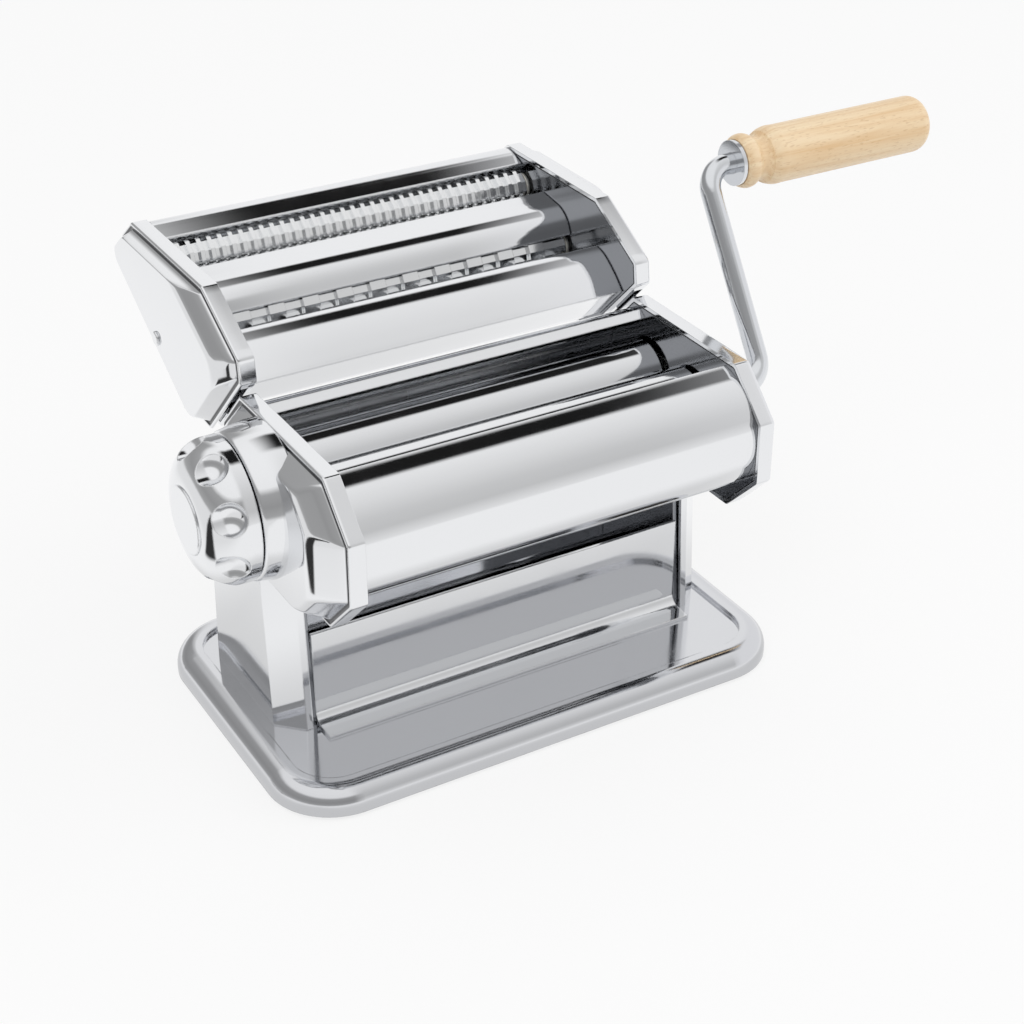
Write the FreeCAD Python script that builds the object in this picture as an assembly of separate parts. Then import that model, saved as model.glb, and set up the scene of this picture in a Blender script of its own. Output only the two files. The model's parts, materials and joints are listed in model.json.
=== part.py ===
import FreeCAD, Part
import math
import os

V = FreeCAD.Vector
os.makedirs("parts", exist_ok=True)

# Frame: X runs along the rollers towards the crank, Y to the back, Z up.
# The pieces are drawn about the middle of the roller housing. Saving moves them so that the origin is
# under the middle of the whole machine, where its feet stand. Sizes are in millimetres.

# Work space between the two end plates
work_width = 146.0
plate_t = 2.0
x_in = work_width / 2
x_out = x_in + plate_t
rim_gap = 0.1           # between an end plate's inner face and its cover's edge
cover_t = 1.4           # wall of the pressed covers
fit_gap = 0.3           # between pieces that lie side by side
run_gap = 0.05          # radial clearance of a shaft in its bearing
sheet_t = 1.2           # rolled sheet of the aprons, hoods and panels

# Uprights and panels
leg_x = x_out + 11.0
leg_t = 1.5
leg_front_low, leg_front_high = -16.0, -12.0
leg_rear_low, leg_rear_high = 42.0, 38.0
leg_corner = 8.5
panel_top_z = 45.0
rear_panel_top_z = 60.0

# Base tray, wider than the uprights on both sides
base_side = 12.0
base_w, base_d, base_r = 2 * (leg_x + base_side), 122.0, 24.0
base_x, base_y = -1.5, 5.0
foot_h = 1.5
base_rim_z, base_top_z = 10.5, 9.0
base_round = 7.0
base_ledge = 9.5        # from the outer edge to the recessed top
foot_r = 8.0
foot_in = 19.0          # foot centres, in from the edges

# Roller housing, an octagon seen from its end
body_front, body_rear = -59.0, 35.0
body_bottom, body_top = 67.0, 121.0
body_chamfer = 16.0
rim_depth = 5.9         # plain band round each cover
groove_in = 1.6         # step between the band and the domed face
dome_rise = 7.0
dome_front, dome_rear, dome_low, dome_high = 19.0, 8.0, 3.0, 7.0

# Rollers
roller_z = 96.0
roller_r = 12.9
nip_min = 0.4
gap_travel = 2.0        # how far the rear roller backs off
front_y = -18.1
rear_y = front_y + 2 * roller_r + nip_min
roller_end_gap = 1.5
journal_r = 5.5
bush_r = 8.0
bush_flange_r, bush_flange_t = 9.6, 1.2

# Drive gears at the crank side
gear_teeth = 15
gear_x0, gear_t = x_out + 2.2, 5.0
pressure_angle = 22.0
backlash = 0.3

# Sliding bearing blocks of the rear roller
block_side = 14.0
block_flange = 19.0
block_gap = 0.15

# Gap knob, its shaft and its snail cam
knob_y = -5.0
knob_r = 24.3
knob_cap_r = 11.4
knob_depth = 15.6
knob_pull = 6.0
knob_shaft_r = 5.0
boss_r0, boss_r1 = 26.5, 24.6
boss_x = x_out + 18.2   # outer face of the cover's boss
scallops = 8
scallop_r = 6.2
settings = 6
setting_ring_r = 18.5
index_pin_r = 1.4
cam_r = 9.0
cam_sweep = 300.0
cam_t = 4.0
follower_r = 2.0
follower_gap = 0.2

# Crank
rod_r = 3.8
hex_flats = 6.6
hex_gap = 0.1
socket_depth = 13.0
drive_end_x = x_out + 9.0
arm_x = x_out + 30.0
grip_y, grip_z = 23.8, 161.4
bend_r = 9.0
grip_len = 83.6
grip_x0 = arm_x + 13.4
grip_x1 = grip_x0 + grip_len
grip_r, grip_bead_r, grip_neck_r = 10.5, 9.8, 7.6
grip_bore_gap = 0.3

# Aprons in front of and behind the rollers
apron_r = 22.8
apron_out = 1.7         # from the housing's front to the apron's face
apron_top_deg, apron_low_deg = 82.0, -37.0

# Cutter unit, tilted back towards the rear
tilt = 25.5
cut_r = 8.0
cut_overlap = 1.1
groove_depth = 1.6
wide_pitch, fine_pitch = 13.0, 4.0
side_gap = 0.4          # between a ridge and the groove that it runs in
wide_nip = (body_rear + 26.5, body_top - 1.1)
nip_to_nip = 31.6
cut_gear_teeth = 12
cut_gear_t = 4.0
cut_journal_r = 3.0
cut_bush_r = 5.0
hood_gap = 1.4          # from a cutter to the hood above it
rest_gap = 3.0          # slope offset between the housing and the cutter unit
cut_dome_rise = 5.0
unit_rear = 57.5        # from the wide bite to the unit's rearmost edge

# Middle of the whole machine, seen from above: between knob and grip, and between housing and cutter unit
cap_out = 0.6           # the knob's cap stands out by this much, and the knob clears its boss by as much
middle_x = (grip_x1 - (boss_x + knob_depth + 2 * cap_out)) / 2
middle_y = (body_front + wide_nip[0] + unit_rear) / 2


def corner_points(points):
    return points + [points[0]]


def face_at(points, x):
    return Part.Face(Part.makePolygon([V(x, y, z) for y, z in corner_points(points)]))


def prism(points, x0, x1):
    return face_at(points, x0).extrude(V(x1 - x0, 0, 0))


def rod(x0, x1, y, z, r):
    return Part.makeCylinder(r, x1 - x0, V(x0, y, z), V(1, 0, 0))


def tube(x0, x1, y, z, r_out, r_in):
    return rod(x0, x1, y, z, r_out).cut(rod(x0 - 1, x1 + 1, y, z, r_in))


def box(x0, x1, y0, y1, z0, z1):
    return Part.makeBox(x1 - x0, y1 - y0, z1 - z0, V(x0, y0, z0))


def regular(y, z, r, sides, turn=0.0):
    step = 2 * math.pi / sides
    return [(y + r * math.cos(turn + i * step), z + r * math.sin(turn + i * step)) for i in range(sides)]


def inset(points, gap):
    """Move every side of a convex outline inwards; gap is one value or one per side."""
    count = len(points)
    gaps = gap if isinstance(gap, (list, tuple)) else [gap] * count
    cy = sum(p[0] for p in points) / count
    cz = sum(p[1] for p in points) / count
    lines = []
    for i in range(count):
        (y0, z0), (y1, z1) = points[i], points[(i + 1) % count]
        length = math.hypot(y1 - y0, z1 - z0)
        ny, nz = -(z1 - z0) / length, (y1 - y0) / length
        if ny * (cy - y0) + nz * (cz - z0) < 0:
            ny, nz = -ny, -nz
        lines.append((ny, nz, ny * y0 + nz * z0 + gaps[i]))
    moved = []
    for i in range(count):
        a, b = lines[i - 1], lines[i]
        det = a[0] * b[1] - a[1] * b[0]
        moved.append(((a[2] * b[1] - a[1] * b[2]) / det, (a[0] * b[2] - a[2] * b[0]) / det))
    return moved


def loft(low, x0, high, x1):
    wires = [Part.makePolygon([V(x, y, z) for y, z in corner_points(pts)]) for pts, x in ((low, x0), (high, x1))]
    return Part.makeLoft(wires, True, True)


def mirrored(shape):
    return shape.mirror(V(0, 0, 0), V(1, 0, 0))


def bent_sheet(edges, x0, x1, thickness):
    """A strip that follows joined lines and arcs in the end view, thickened to one side."""
    flat = Part.Wire(edges).makeOffset2D(thickness, 0, True, True)
    return Part.Face(flat.Wires[0]).extrude(V(x1 - x0, 0, 0))


def line(a, b, x=0.0):
    return Part.makeLine(V(x, a[0], a[1]), V(x, b[0], b[1]))


def arc(a, mid, b, x=0.0):
    return Part.Arc(V(x, a[0], a[1]), V(x, mid[0], mid[1]), V(x, b[0], b[1])).toShape()


def save(node, *solids):
    shape = solids[0] if len(solids) == 1 else Part.makeCompound(list(solids))
    if not shape.isValid():
        print("not valid:", node)
    shape = shape.translated(V(-middle_x, -middle_y, 0))
    shape.exportStep("parts/" + node + ".step")


def gear_outline(teeth, module, y, z, turn, tip=1.0, root=1.25):
    """Involute teeth with the play taken off both flanks."""
    pa = math.radians(pressure_angle)
    pitch_r = teeth * module / 2
    base_radius = pitch_r * math.cos(pa)
    tip_r, root_r = pitch_r + tip * module, pitch_r - root * module
    half = math.pi / (2 * teeth) - backlash / (4 * pitch_r) + math.tan(pa) - pa
    start = max(base_radius, root_r)

    def flank(r):
        a = math.acos(min(1.0, base_radius / r))
        return half - (math.tan(a) - a)

    radii = [start + (tip_r - start) * k / 3 for k in range(4)]
    side = [(r, flank(r)) for r in radii]
    tooth = [(root_r, side[0][1])] + side if start > root_r else side
    outline = []
    for n in range(teeth):
        mid = turn + 2 * math.pi * n / teeth
        for r, a in [(r, -a) for r, a in tooth] + [(r, a) for r, a in reversed(tooth)]:
            outline.append((y + r * math.cos(mid + a), z + r * math.sin(mid + a)))
    return outline


# Base: a pressed tray with a rounded shoulder and a recessed top, hollow below

def rounded_block(w, d, r, z0, z1):
    block = box(-w / 2, w / 2, -d / 2, d / 2, z0, z1)
    upright = [e for e in block.Edges if abs(e.tangentAt(e.FirstParameter).z) > 0.9]
    return block.makeFillet(r, upright)


def top_edges(shape, z):
    return [e for e in shape.Edges if abs(e.BoundBox.ZMin - z) < 0.01 and abs(e.BoundBox.ZMax - z) < 0.01]


tray = rounded_block(base_w, base_d, base_r, foot_h, base_rim_z)
tray = tray.makeFillet(base_round, top_edges(tray, base_rim_z))
tray = tray.cut(rounded_block(base_w - 2 * base_ledge, base_d - 2 * base_ledge, base_r - base_ledge,
                              base_top_z, base_rim_z + 1))
hollow_z = base_top_z - sheet_t
hollow = rounded_block(base_w - 2 * sheet_t, base_d - 2 * sheet_t, base_r - sheet_t, foot_h - 1, hollow_z)
hollow = hollow.makeFillet(base_round - sheet_t, top_edges(hollow, hollow_z))
save("base_tray", tray.cut(hollow).translated(V(base_x, base_y, 0)))

feet = []
for sx in (-1, 1):
    for sy in (-1, 1):
        at = V(base_x + sx * (base_w / 2 - foot_in), base_y + sy * (base_d / 2 - foot_in), 0)
        foot = Part.makeCone(foot_r, foot_r - 1.5, hollow_z, at)
        feet.append(foot)
save("base_feet", *feet)

# Housing outline and the places that follow from it
body = [(body_front, body_bottom + body_chamfer), (body_front, body_top - body_chamfer),
        (body_front + body_chamfer, body_top), (body_rear - body_chamfer, body_top),
        (body_rear, body_top - body_chamfer), (body_rear, body_bottom + body_chamfer),
        (body_rear - body_chamfer, body_bottom), (body_front + body_chamfer, body_bottom)]
x_rim = x_in + rim_gap
x_step = x_rim + rim_depth
x_face = x_step + dome_rise
plate_inset = cover_t + fit_gap


def dished_cover(outline, rise, face_insets):
    """A right-hand cover: plain band, small step, then a dome up to a flat face; open inside."""
    step = inset(outline, groove_in)
    face = inset(outline, face_insets)
    outer = prism(outline, x_rim, x_step).fuse(loft(step, x_step, face, x_step + rise)).removeSplitter()
    wall = x_step - cover_t
    inner = prism(inset(outline, cover_t), x_rim - 1, wall)
    inner = inner.fuse(loft(inset(step, cover_t), wall, inset(face, cover_t), wall + rise))
    return outer, inner


diagonal_in = (dome_front + dome_high) / 2
body_face = [dome_front, diagonal_in, dome_high, (dome_high + dome_rear) / 2,
             dome_rear, (dome_rear + dome_low) / 2, dome_low, (dome_front + dome_low) / 2]
cover_outer, cover_inner = dished_cover(body, dome_rise, body_face)
cover_outer = cover_outer.makeFillet(1.0, [e for e in cover_outer.Edges if e.BoundBox.XMin > x_step + 0.5])
leg_notch = box(x_in - 1, x_out + fit_gap, leg_front_high - fit_gap, leg_rear_low, body_bottom - 5,
                body_bottom + body_chamfer + 4)
right_cover = cover_outer.cut(cover_inner).cut(leg_notch)
save("right_cover", right_cover.cut(rod(x_step, x_face + 1, front_y, roller_z, rod_r + 2.4)))

# The left cover carries the knob's boss, with a ring of setting holes and a bearing for its shaft
boss_h = boss_x - x_face + 3
boss = Part.makeCone(boss_r0, boss_r1, boss_h, V(x_face - 3, knob_y, roller_z), V(1, 0, 0))
boss = boss.makeFillet(1.2, [e for e in boss.Edges if e.BoundBox.XMin > boss_x - 0.01])
boss_void = rod(x_step, boss_x - 6, knob_y, roller_z, boss_r1 - 3)
knob_bush_r = knob_shaft_r + 3.0
left_cover = cover_outer.fuse(boss).cut(cover_inner).cut(boss_void).cut(leg_notch)
left_cover = left_cover.cut(rod(x_step, boss_x + 1, knob_y, roller_z, knob_bush_r))
for n in range(settings):
    a = math.radians(90 + cam_sweep / (settings - 1) * n)
    left_cover = left_cover.cut(rod(boss_x - 4, boss_x + 1, knob_y + setting_ring_r * math.cos(a),
                                    roller_z + setting_ring_r * math.sin(a), index_pin_r + 0.3))
save("left_cover", mirrored(left_cover))
save("knob_bush", mirrored(tube(boss_x - 9, boss_x, knob_y, roller_z, knob_bush_r, knob_shaft_r + run_gap)))

# End plates with legs that stand on the base
slot_y0 = rear_y - block_side / 2 - block_gap
slot_y1 = rear_y + block_side / 2 + gap_travel + block_gap
slot_z = block_side / 2 + block_gap
foot_flange = 8.0
foot_t = 2.0
leg_in = leg_t + fit_gap
leg_points = [(leg_front_low + leg_in, base_top_z), (leg_rear_low - leg_in, base_top_z),
              (leg_rear_high - leg_in, body_bottom + body_chamfer), (body_rear - 6, body_top - 30),
              (body_front + 30, body_top - 30), (leg_front_high + leg_in, body_bottom)]
plate = prism(inset(body, plate_inset), x_in, x_out).fuse(prism(leg_points, x_in, x_out))
plate = plate.fuse(box(x_out, x_out + foot_flange, leg_front_low + 10, leg_rear_low - 10,
                       base_top_z, base_top_z + foot_t)).removeSplitter()
plate = plate.cut(rod(x_in - 1, x_out + 1, front_y, roller_z, bush_r + run_gap))
plate = plate.cut(box(x_in - 1, x_out + 1, slot_y0, slot_y1, roller_z - slot_z, roller_z + slot_z))
tie_r = 2.5
tie_places = [(-45.0, 79.2), (21.0, 79.2)]
for y, z in tie_places:
    plate = plate.cut(rod(x_in - 1, x_out + 1, y, z, tie_r + run_gap))
save("right_frame_plate", plate)
save("left_frame_plate", mirrored(plate))

tie_nut_r, tie_nut_t = 4.0, 3.0
ties = [rod(-x_out - tie_nut_t, x_out + tie_nut_t, y, z, tie_r) for y, z in tie_places]
save("tie_rods", *ties)
nuts = []
for y, z in tie_places:
    nut = prism(regular(y, z, tie_nut_r, 6), x_out, x_out + tie_nut_t).cut(rod(x_in, x_face, y, z, tie_r + 0.02))
    nuts += [nut, mirrored(nut)]
save("tie_rod_nuts", *nuts)

# Uprights: bent channels round the plates' legs, with a folded front corner
body_clear = prism(inset(body, -fit_gap), 0, leg_x + 5)


def leg_section(front, rear, gap):
    return [(x_out, front + gap), (leg_x - leg_corner, front + gap), (leg_x - gap, front + leg_corner + gap),
            (leg_x - gap, rear - 2.5 - gap), (leg_x - 2.5 - gap, rear - gap), (x_out, rear - gap)]


def leg_solid(gap, z_low, z_high):
    wires = []
    for front, rear, z in ((leg_front_low, leg_rear_low, z_low), (leg_front_high, leg_rear_high, z_high)):
        points = [V(x, y, z) for x, y in corner_points(leg_section(front, rear, gap))]
        wires.append(Part.makePolygon(points))
    return Part.makeLoft(wires, True, True)


leg_high = body_bottom + body_chamfer - 0.5
upright = leg_solid(0, base_top_z, leg_high).cut(leg_solid(leg_t, base_top_z, leg_high))
upright = upright.cut(body_clear)
save("right_upright", upright)
save("left_upright", mirrored(upright))

# Cross panels between the legs, each with a foot turned out on to the base
panel_bend = 5.0


def panel(y, out, top):
    low = base_top_z + sheet_t / 2
    edges = [line((y + out * 11, low), (y + out * panel_bend, low)),
             arc((y + out * panel_bend, low), (y + out * panel_bend * 0.293, low + panel_bend * 0.293),
                 (y, low + panel_bend)), line((y, low + panel_bend), (y, top))]
    ribbon = bent_sheet(edges, -x_in, x_in, sheet_t / 2)
    other = bent_sheet(edges, -x_in, x_in, -sheet_t / 2)
    return ribbon.fuse(other).removeSplitter().translated(V(-x_in, 0, 0))


front_panel = panel(leg_front_low + 3.0, -1, panel_top_z)
rear_panel = panel(leg_rear_high - 3.0, 1, rear_panel_top_z)
save("front_panel", front_panel)
save("rear_panel", rear_panel)

# Aprons: rolled sheet with a turned-in lip, one each side of the rollers


def apron(out, face_y):
    """out is -1 for the front apron and 1 for the rear one."""
    cy = face_y - out * apron_r

    def at(deg, r=apron_r):
        a = math.radians(deg)
        return (cy + out * r * math.cos(a), roller_z + r * math.sin(a))

    top, low = at(apron_top_deg), at(apron_low_deg)
    lip = (top[0] - out * 3.0, top[1] - 2.2)
    hem = (low[0] - out * 5.0, low[1] - 1.0)
    edges = [line(lip, top), arc(top, at((apron_top_deg + apron_low_deg) / 2), low), line(low, hem)]
    return bent_sheet(edges, -x_in, x_in, out * sheet_t).translated(V(-x_in, 0, 0))


save("front_apron", apron(-1, body_front + apron_out))
save("rear_apron", apron(1, body_rear - apron_out))

# Rollers, their bearings and their gears
barrel = x_in - roller_end_gap
socket_x0 = drive_end_x - socket_depth
hex_r = hex_flats / 2 / math.cos(math.pi / 6)
socket = prism(regular(front_y, roller_z, hex_r + hex_gap, 6), socket_x0, drive_end_x + 1)
front_roller = rod(-barrel, barrel, front_y, roller_z, roller_r)
front_roller = front_roller.fuse(rod(-x_out - 1, drive_end_x, front_y, roller_z, journal_r)).cut(socket)
save("front_roller", front_roller)
rear_roller = rod(-barrel, barrel, rear_y, roller_z, roller_r)
rear_roller = rear_roller.fuse(rod(-x_out - 2.2, gear_x0 + gear_t, rear_y, roller_z, journal_r))
save("rear_roller", rear_roller)

bush = tube(x_in - 0.6, x_out, front_y, roller_z, bush_r, journal_r + run_gap)
bush = bush.fuse(tube(x_out, x_out + bush_flange_t, front_y, roller_z, bush_flange_r, journal_r + run_gap))
save("front_roller_bushes", bush.removeSplitter(), mirrored(bush.removeSplitter()))


def block(depth):
    half, wide = block_side / 2, block_flange / 2
    solid = box(x_in - 0.4, x_out + fit_gap, rear_y - half, rear_y + half, roller_z - half, roller_z + half)
    return solid.fuse(box(x_out + fit_gap, x_out + depth, rear_y - wide + 1, rear_y + wide,
                          roller_z - wide, roller_z + wide)).removeSplitter()


right_block = block(1.4).cut(rod(x_in - 1, x_out + 2, rear_y, roller_z, journal_r + run_gap))
save("right_bearing_block", right_block)
block_depth = 3.4
follower_y = knob_y + cam_r + follower_r + follower_gap
cam_x0 = x_out + block_depth + 0.6
left_block = block(block_depth).cut(rod(x_in - 1, x_out + 2.5, rear_y, roller_z, journal_r + run_gap))
left_block = left_block.fuse(rod(x_out + block_depth - 1, cam_x0 + cam_t, follower_y, roller_z, follower_r))
save("left_bearing_block", mirrored(left_block))

gear_module = (rear_y - front_y) / gear_teeth
for name, y, turn in (("front_roller_gear", front_y, 0.0), ("rear_roller_gear", rear_y, math.pi / gear_teeth)):
    facing = 0.0 if y < rear_y else math.pi
    gear = prism(gear_outline(gear_teeth, gear_module, y, roller_z, facing + turn), gear_x0, gear_x0 + gear_t)
    save(name, gear.cut(rod(gear_x0 - 1, gear_x0 + gear_t + 1, y, roller_z, journal_r + 0.02)))

# Scrapers: sprung strips under the rollers, hung between the plates
scraper_z = roller_z - roller_r - 3.0
for name, y, out in (("front_scraper", front_y, -1), ("rear_scraper", rear_y, 1)):
    tip = (y + out * 1.0, scraper_z + 1.6)
    heel = (y + out * 6.0, scraper_z - 3.0)
    strip = bent_sheet([line(tip, heel), line(heel, (heel[0] + out * 0.5, heel[1] - 6.0))], -x_in, x_in, -out * 0.8)
    save(name, strip.translated(V(-x_in, 0, 0)))

# Knob: a domed grip with finger scallops, a flat cap, an index pin, a keyed shaft and a snail cam
knob_x0 = boss_x + cap_out
knob_x1 = knob_x0 + knob_depth
rim_flat = 2.4
dome_start = V(knob_x0 + rim_flat, knob_y, roller_z + knob_r)
dome_mid = V(knob_x0 + rim_flat + (knob_depth - rim_flat) * 0.72, knob_y, roller_z + knob_r - 3.6)
dome_end = V(knob_x1, knob_y, roller_z + knob_cap_r + 1.2)
axis_low = V(knob_x0, knob_y, roller_z)
axis_high = V(knob_x1, knob_y, roller_z)
knob_edges = [Part.makeLine(axis_low, V(knob_x0, knob_y, roller_z + knob_r)),
              Part.makeLine(V(knob_x0, knob_y, roller_z + knob_r), dome_start),
              Part.Arc(dome_start, dome_mid, dome_end).toShape(),
              Part.makeLine(dome_end, axis_high), Part.makeLine(axis_high, axis_low)]
knob = Part.Face(Part.Wire(knob_edges)).revolve(V(0, knob_y, roller_z), V(1, 0, 0), 360)
scallop_at = knob_r + 0.6
for n in range(scallops):
    a = 2 * math.pi * (n + 0.5) / scallops
    y, z = knob_y + scallop_at * math.cos(a), roller_z + scallop_at * math.sin(a)
    round_x = knob_x0 + rim_flat + 1.4 + scallop_r
    finger = rod(round_x, knob_x1 + 1, y, z, scallop_r).fuse(Part.makeSphere(scallop_r, V(round_x, y, z)))
    knob = knob.cut(finger)
cap_t = 1.6
knob_floor = knob_x1 - 6.5
knob = knob.cut(rod(knob_x0 - 1, knob_floor, knob_y, roller_z, knob_r - 8.2))
hub = rod(knob_x0, knob_floor, knob_y, roller_z, knob_shaft_r + 3)
knob = knob.fuse(hub).cut(rod(knob_x0 - 1, knob_x1 + 1, knob_y, roller_z, knob_shaft_r + run_gap))
knob = knob.cut(rod(knob_x1 - cap_t + cap_out, knob_x1 + 1, knob_y, roller_z, knob_cap_r + run_gap))
cap = rod(knob_x1 - cap_t + cap_out, knob_x1 + cap_out, knob_y, roller_z, knob_cap_r)
cap = cap.makeFillet(0.5, [e for e in cap.Edges if e.BoundBox.XMin > knob_x1])
save("knob_cap", mirrored(cap))
pin_a = math.radians(90)
pin_y, pin_z = knob_y + setting_ring_r * math.cos(pin_a), roller_z + setting_ring_r * math.sin(pin_a)
pin_x1 = knob_x0 + 3.0
knob = knob.cut(rod(knob_x0 - 1, pin_x1, pin_y, pin_z, index_pin_r + 0.02))
save("adjusting_knob", mirrored(knob))
save("index_pin", mirrored(rod(boss_x + fit_gap, pin_x1, pin_y, pin_z, index_pin_r)))

shaft_x1 = knob_x1 - knob_pull + 2
save("knob_shaft", mirrored(rod(cam_x0, shaft_x1, knob_y, roller_z, knob_shaft_r)))
cam_points = []
cam_steps = 30
for k in range(cam_steps + 1):
    a = -math.radians(cam_sweep) * k / cam_steps
    r = cam_r + gap_travel * k / cam_steps
    cam_points.append((knob_y + r * math.cos(a), roller_z + r * math.sin(a)))
cam = prism(cam_points, cam_x0, cam_x0 + cam_t)
cam = cam.cut(rod(cam_x0 - 1, cam_x0 + cam_t + 1, knob_y, roller_z, knob_shaft_r + 0.02))
save("gap_cam", mirrored(cam))

# Crank: one bent rod with a hexagonal drive end, a washer and a turned wooden grip
arm_len = math.hypot(grip_y - front_y, grip_z - roller_z)
arm_dir = V(0, (grip_y - front_y) / arm_len, (grip_z - roller_z) / arm_len)
along = V(1, 0, 0)
low_corner = V(arm_x, front_y, roller_z)
high_corner = V(arm_x, grip_y, grip_z)
rod_start = V(drive_end_x + fit_gap, front_y, roller_z)
rod_end = V(grip_x1 - 8, grip_y, grip_z)
turn_in = bend_r * (1 - math.sqrt(0.5))
low_a, low_b = low_corner - along * bend_r, low_corner + arm_dir * bend_r
low_mid = low_corner - along * turn_in + arm_dir * turn_in
high_a, high_b = high_corner - arm_dir * bend_r, high_corner + along * bend_r
high_mid = high_corner - arm_dir * turn_in + along * turn_in
path = Part.Wire([Part.makeLine(rod_start, low_a), Part.Arc(low_a, low_mid, low_b).toShape(),
                  Part.makeLine(low_b, high_a), Part.Arc(high_a, high_mid, high_b).toShape(),
                  Part.makeLine(high_b, rod_end)])
section = Part.Wire(Part.makeCircle(rod_r, rod_start, along))
crank = path.makePipeShell([section], True, False)
drive = prism(regular(front_y, roller_z, hex_r, 6), socket_x0 + 0.5, drive_end_x + 1)
save("crank_rod", crank.fuse(drive))
washer_t = 1.6
washer_x1 = grip_x0 - 0.3
save("crank_washer", tube(washer_x1 - washer_t, washer_x1, grip_y, grip_z, 8.2, rod_r + 0.02))


def grip_arc(x0, r0, xm, rm, x1, r1):
    points = [V(x, grip_y, grip_z + r) for x, r in ((x0, r0), (xm, rm), (x1, r1))]
    return Part.Arc(*points).toShape()


def grip_line(x0, r0, x1, r1):
    return Part.makeLine(V(x0, grip_y, grip_z + r0), V(x1, grip_y, grip_z + r1))


bead_w, neck_x, collar_x = 6.4, grip_x0 + 8.0, grip_x0 + 11.0
grip_edges = [grip_line(grip_x0, 0, grip_x0, 8.4),
              grip_arc(grip_x0, 8.4, grip_x0 + bead_w / 2, grip_bead_r, grip_x0 + bead_w, 8.2),
              grip_arc(grip_x0 + bead_w, 8.2, neck_x, grip_neck_r, collar_x, 9.4),
              grip_arc(collar_x, 9.4, collar_x + 2.2, grip_r - 0.2, collar_x + 6, grip_r),
              grip_line(collar_x + 6, grip_r, grip_x1 - 5, grip_r),
              grip_arc(grip_x1 - 5, grip_r, grip_x1 - 1.4, grip_r - 1.7, grip_x1, grip_r - 5),
              grip_line(grip_x1, grip_r - 5, grip_x1, 0), grip_line(grip_x1, 0, grip_x0, 0)]
grip = Part.Face(Part.Wire(grip_edges)).revolve(V(0, grip_y, grip_z), V(1, 0, 0), 360)
save("crank_grip", grip.cut(rod(grip_x0 - 1, grip_x1 - 7, grip_y, grip_z, rod_r + grip_bore_gap)))

# Cutter unit: its outline, axes and tilted directions
slope = body_rear - body_chamfer + body_top + rest_gap       # Y + Z along its resting face


def by_bite(dy, dz):
    """A point of the unit, measured from the bite of the wide cutters."""
    return (wide_nip[0] + dy, wide_nip[1] + dz)


def on_slope(total, dz):
    """A point on a line along the resting slope, at a height above the bite of the wide cutters."""
    return (total - wide_nip[1] - dz, wide_nip[1] + dz)


unit = [on_slope(slope, 6.1), by_bite(-43.5, 14.6), by_bite(-16.5, 29.6), by_bite(46.5, 29.6),
        by_bite(unit_rear, 21.1), by_bite(unit_rear - 1.0, 14.1), by_bite(-5.5, -23.4), on_slope(slope, -23.9)]
tu = (math.cos(math.radians(tilt)), math.sin(math.radians(tilt)))
tn = (-tu[1], tu[0])
pair = 2 * cut_r - cut_overlap


def on_unit(u, n=0.0):
    return (wide_nip[0] + u * tu[0] + n * tn[0], wide_nip[1] + u * tu[1] + n * tn[1])


wide_front, wide_rear = on_unit(-pair / 2), on_unit(pair / 2)
fine_front, fine_rear = on_unit(nip_to_nip - pair / 2), on_unit(nip_to_nip + pair / 2)
unit_face = [7.0, 6.0, 3.0, 4.5, 5.0, 3.5, 4.0, 5.0]
unit_outer, unit_inner = dished_cover(unit, cut_dome_rise, unit_face)
unit_outer = unit_outer.makeFillet(1.0, [e for e in unit_outer.Edges if e.BoundBox.XMin > x_step + 0.5])
unit_cover = unit_outer.cut(unit_inner)

# Rails on the housing covers hold the unit; each runs in an open slot of the unit's cover
rail_x0, rail_x1 = x_out + 1.1, x_out + 2.1
head_x0, head_x1 = x_out + 0.3, x_out + 2.9
rail_s0, rail_s1 = 4.0, 18.0
wall_slope = cover_t * math.sqrt(2)
deep = slope + wall_slope


def sloped(x0, x1, sum0, sum1, s0, s1):
    """A bar along the resting slope: Y + Z from sum0 to sum1, s down the slope from its upper edge."""
    top_y, top_sum = body_rear - body_chamfer, slope - rest_gap
    k = math.sqrt(0.5)

    def at(total, s):
        half = (total - top_sum) / 2
        return (top_y + half + s * k, body_top + half - s * k)

    return prism([at(sum0, s0), at(sum0, s1), at(sum1, s1), at(sum1, s0)], x0, x1)


rail = sloped(rail_x0, rail_x1, slope - rest_gap, deep + 0.9, rail_s0, rail_s1)
rail = rail.fuse(sloped(head_x0, head_x1, deep + 0.6, deep + 3.2, rail_s0, rail_s1)).removeSplitter()
save("cutter_rails", rail, mirrored(rail))
rail_way = sloped(rail_x0 - fit_gap, rail_x1 + fit_gap, slope - 1, deep + 1, rail_s0 - fit_gap, 90)
rail_way = rail_way.fuse(sloped(head_x0 - fit_gap, head_x1 + fit_gap, deep + 0.01, deep + 3.6,
                                rail_s0 - fit_gap, 90))
unit_cover = unit_cover.cut(rail_way)
save("cutter_left_cover", mirrored(unit_cover))
socket_hole_r = 4.6
for y, z in (wide_front, fine_rear):
    unit_cover = unit_cover.cut(rod(x_step, x_face + 1, y, z, socket_hole_r))
save("cutter_right_cover", unit_cover)

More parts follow.
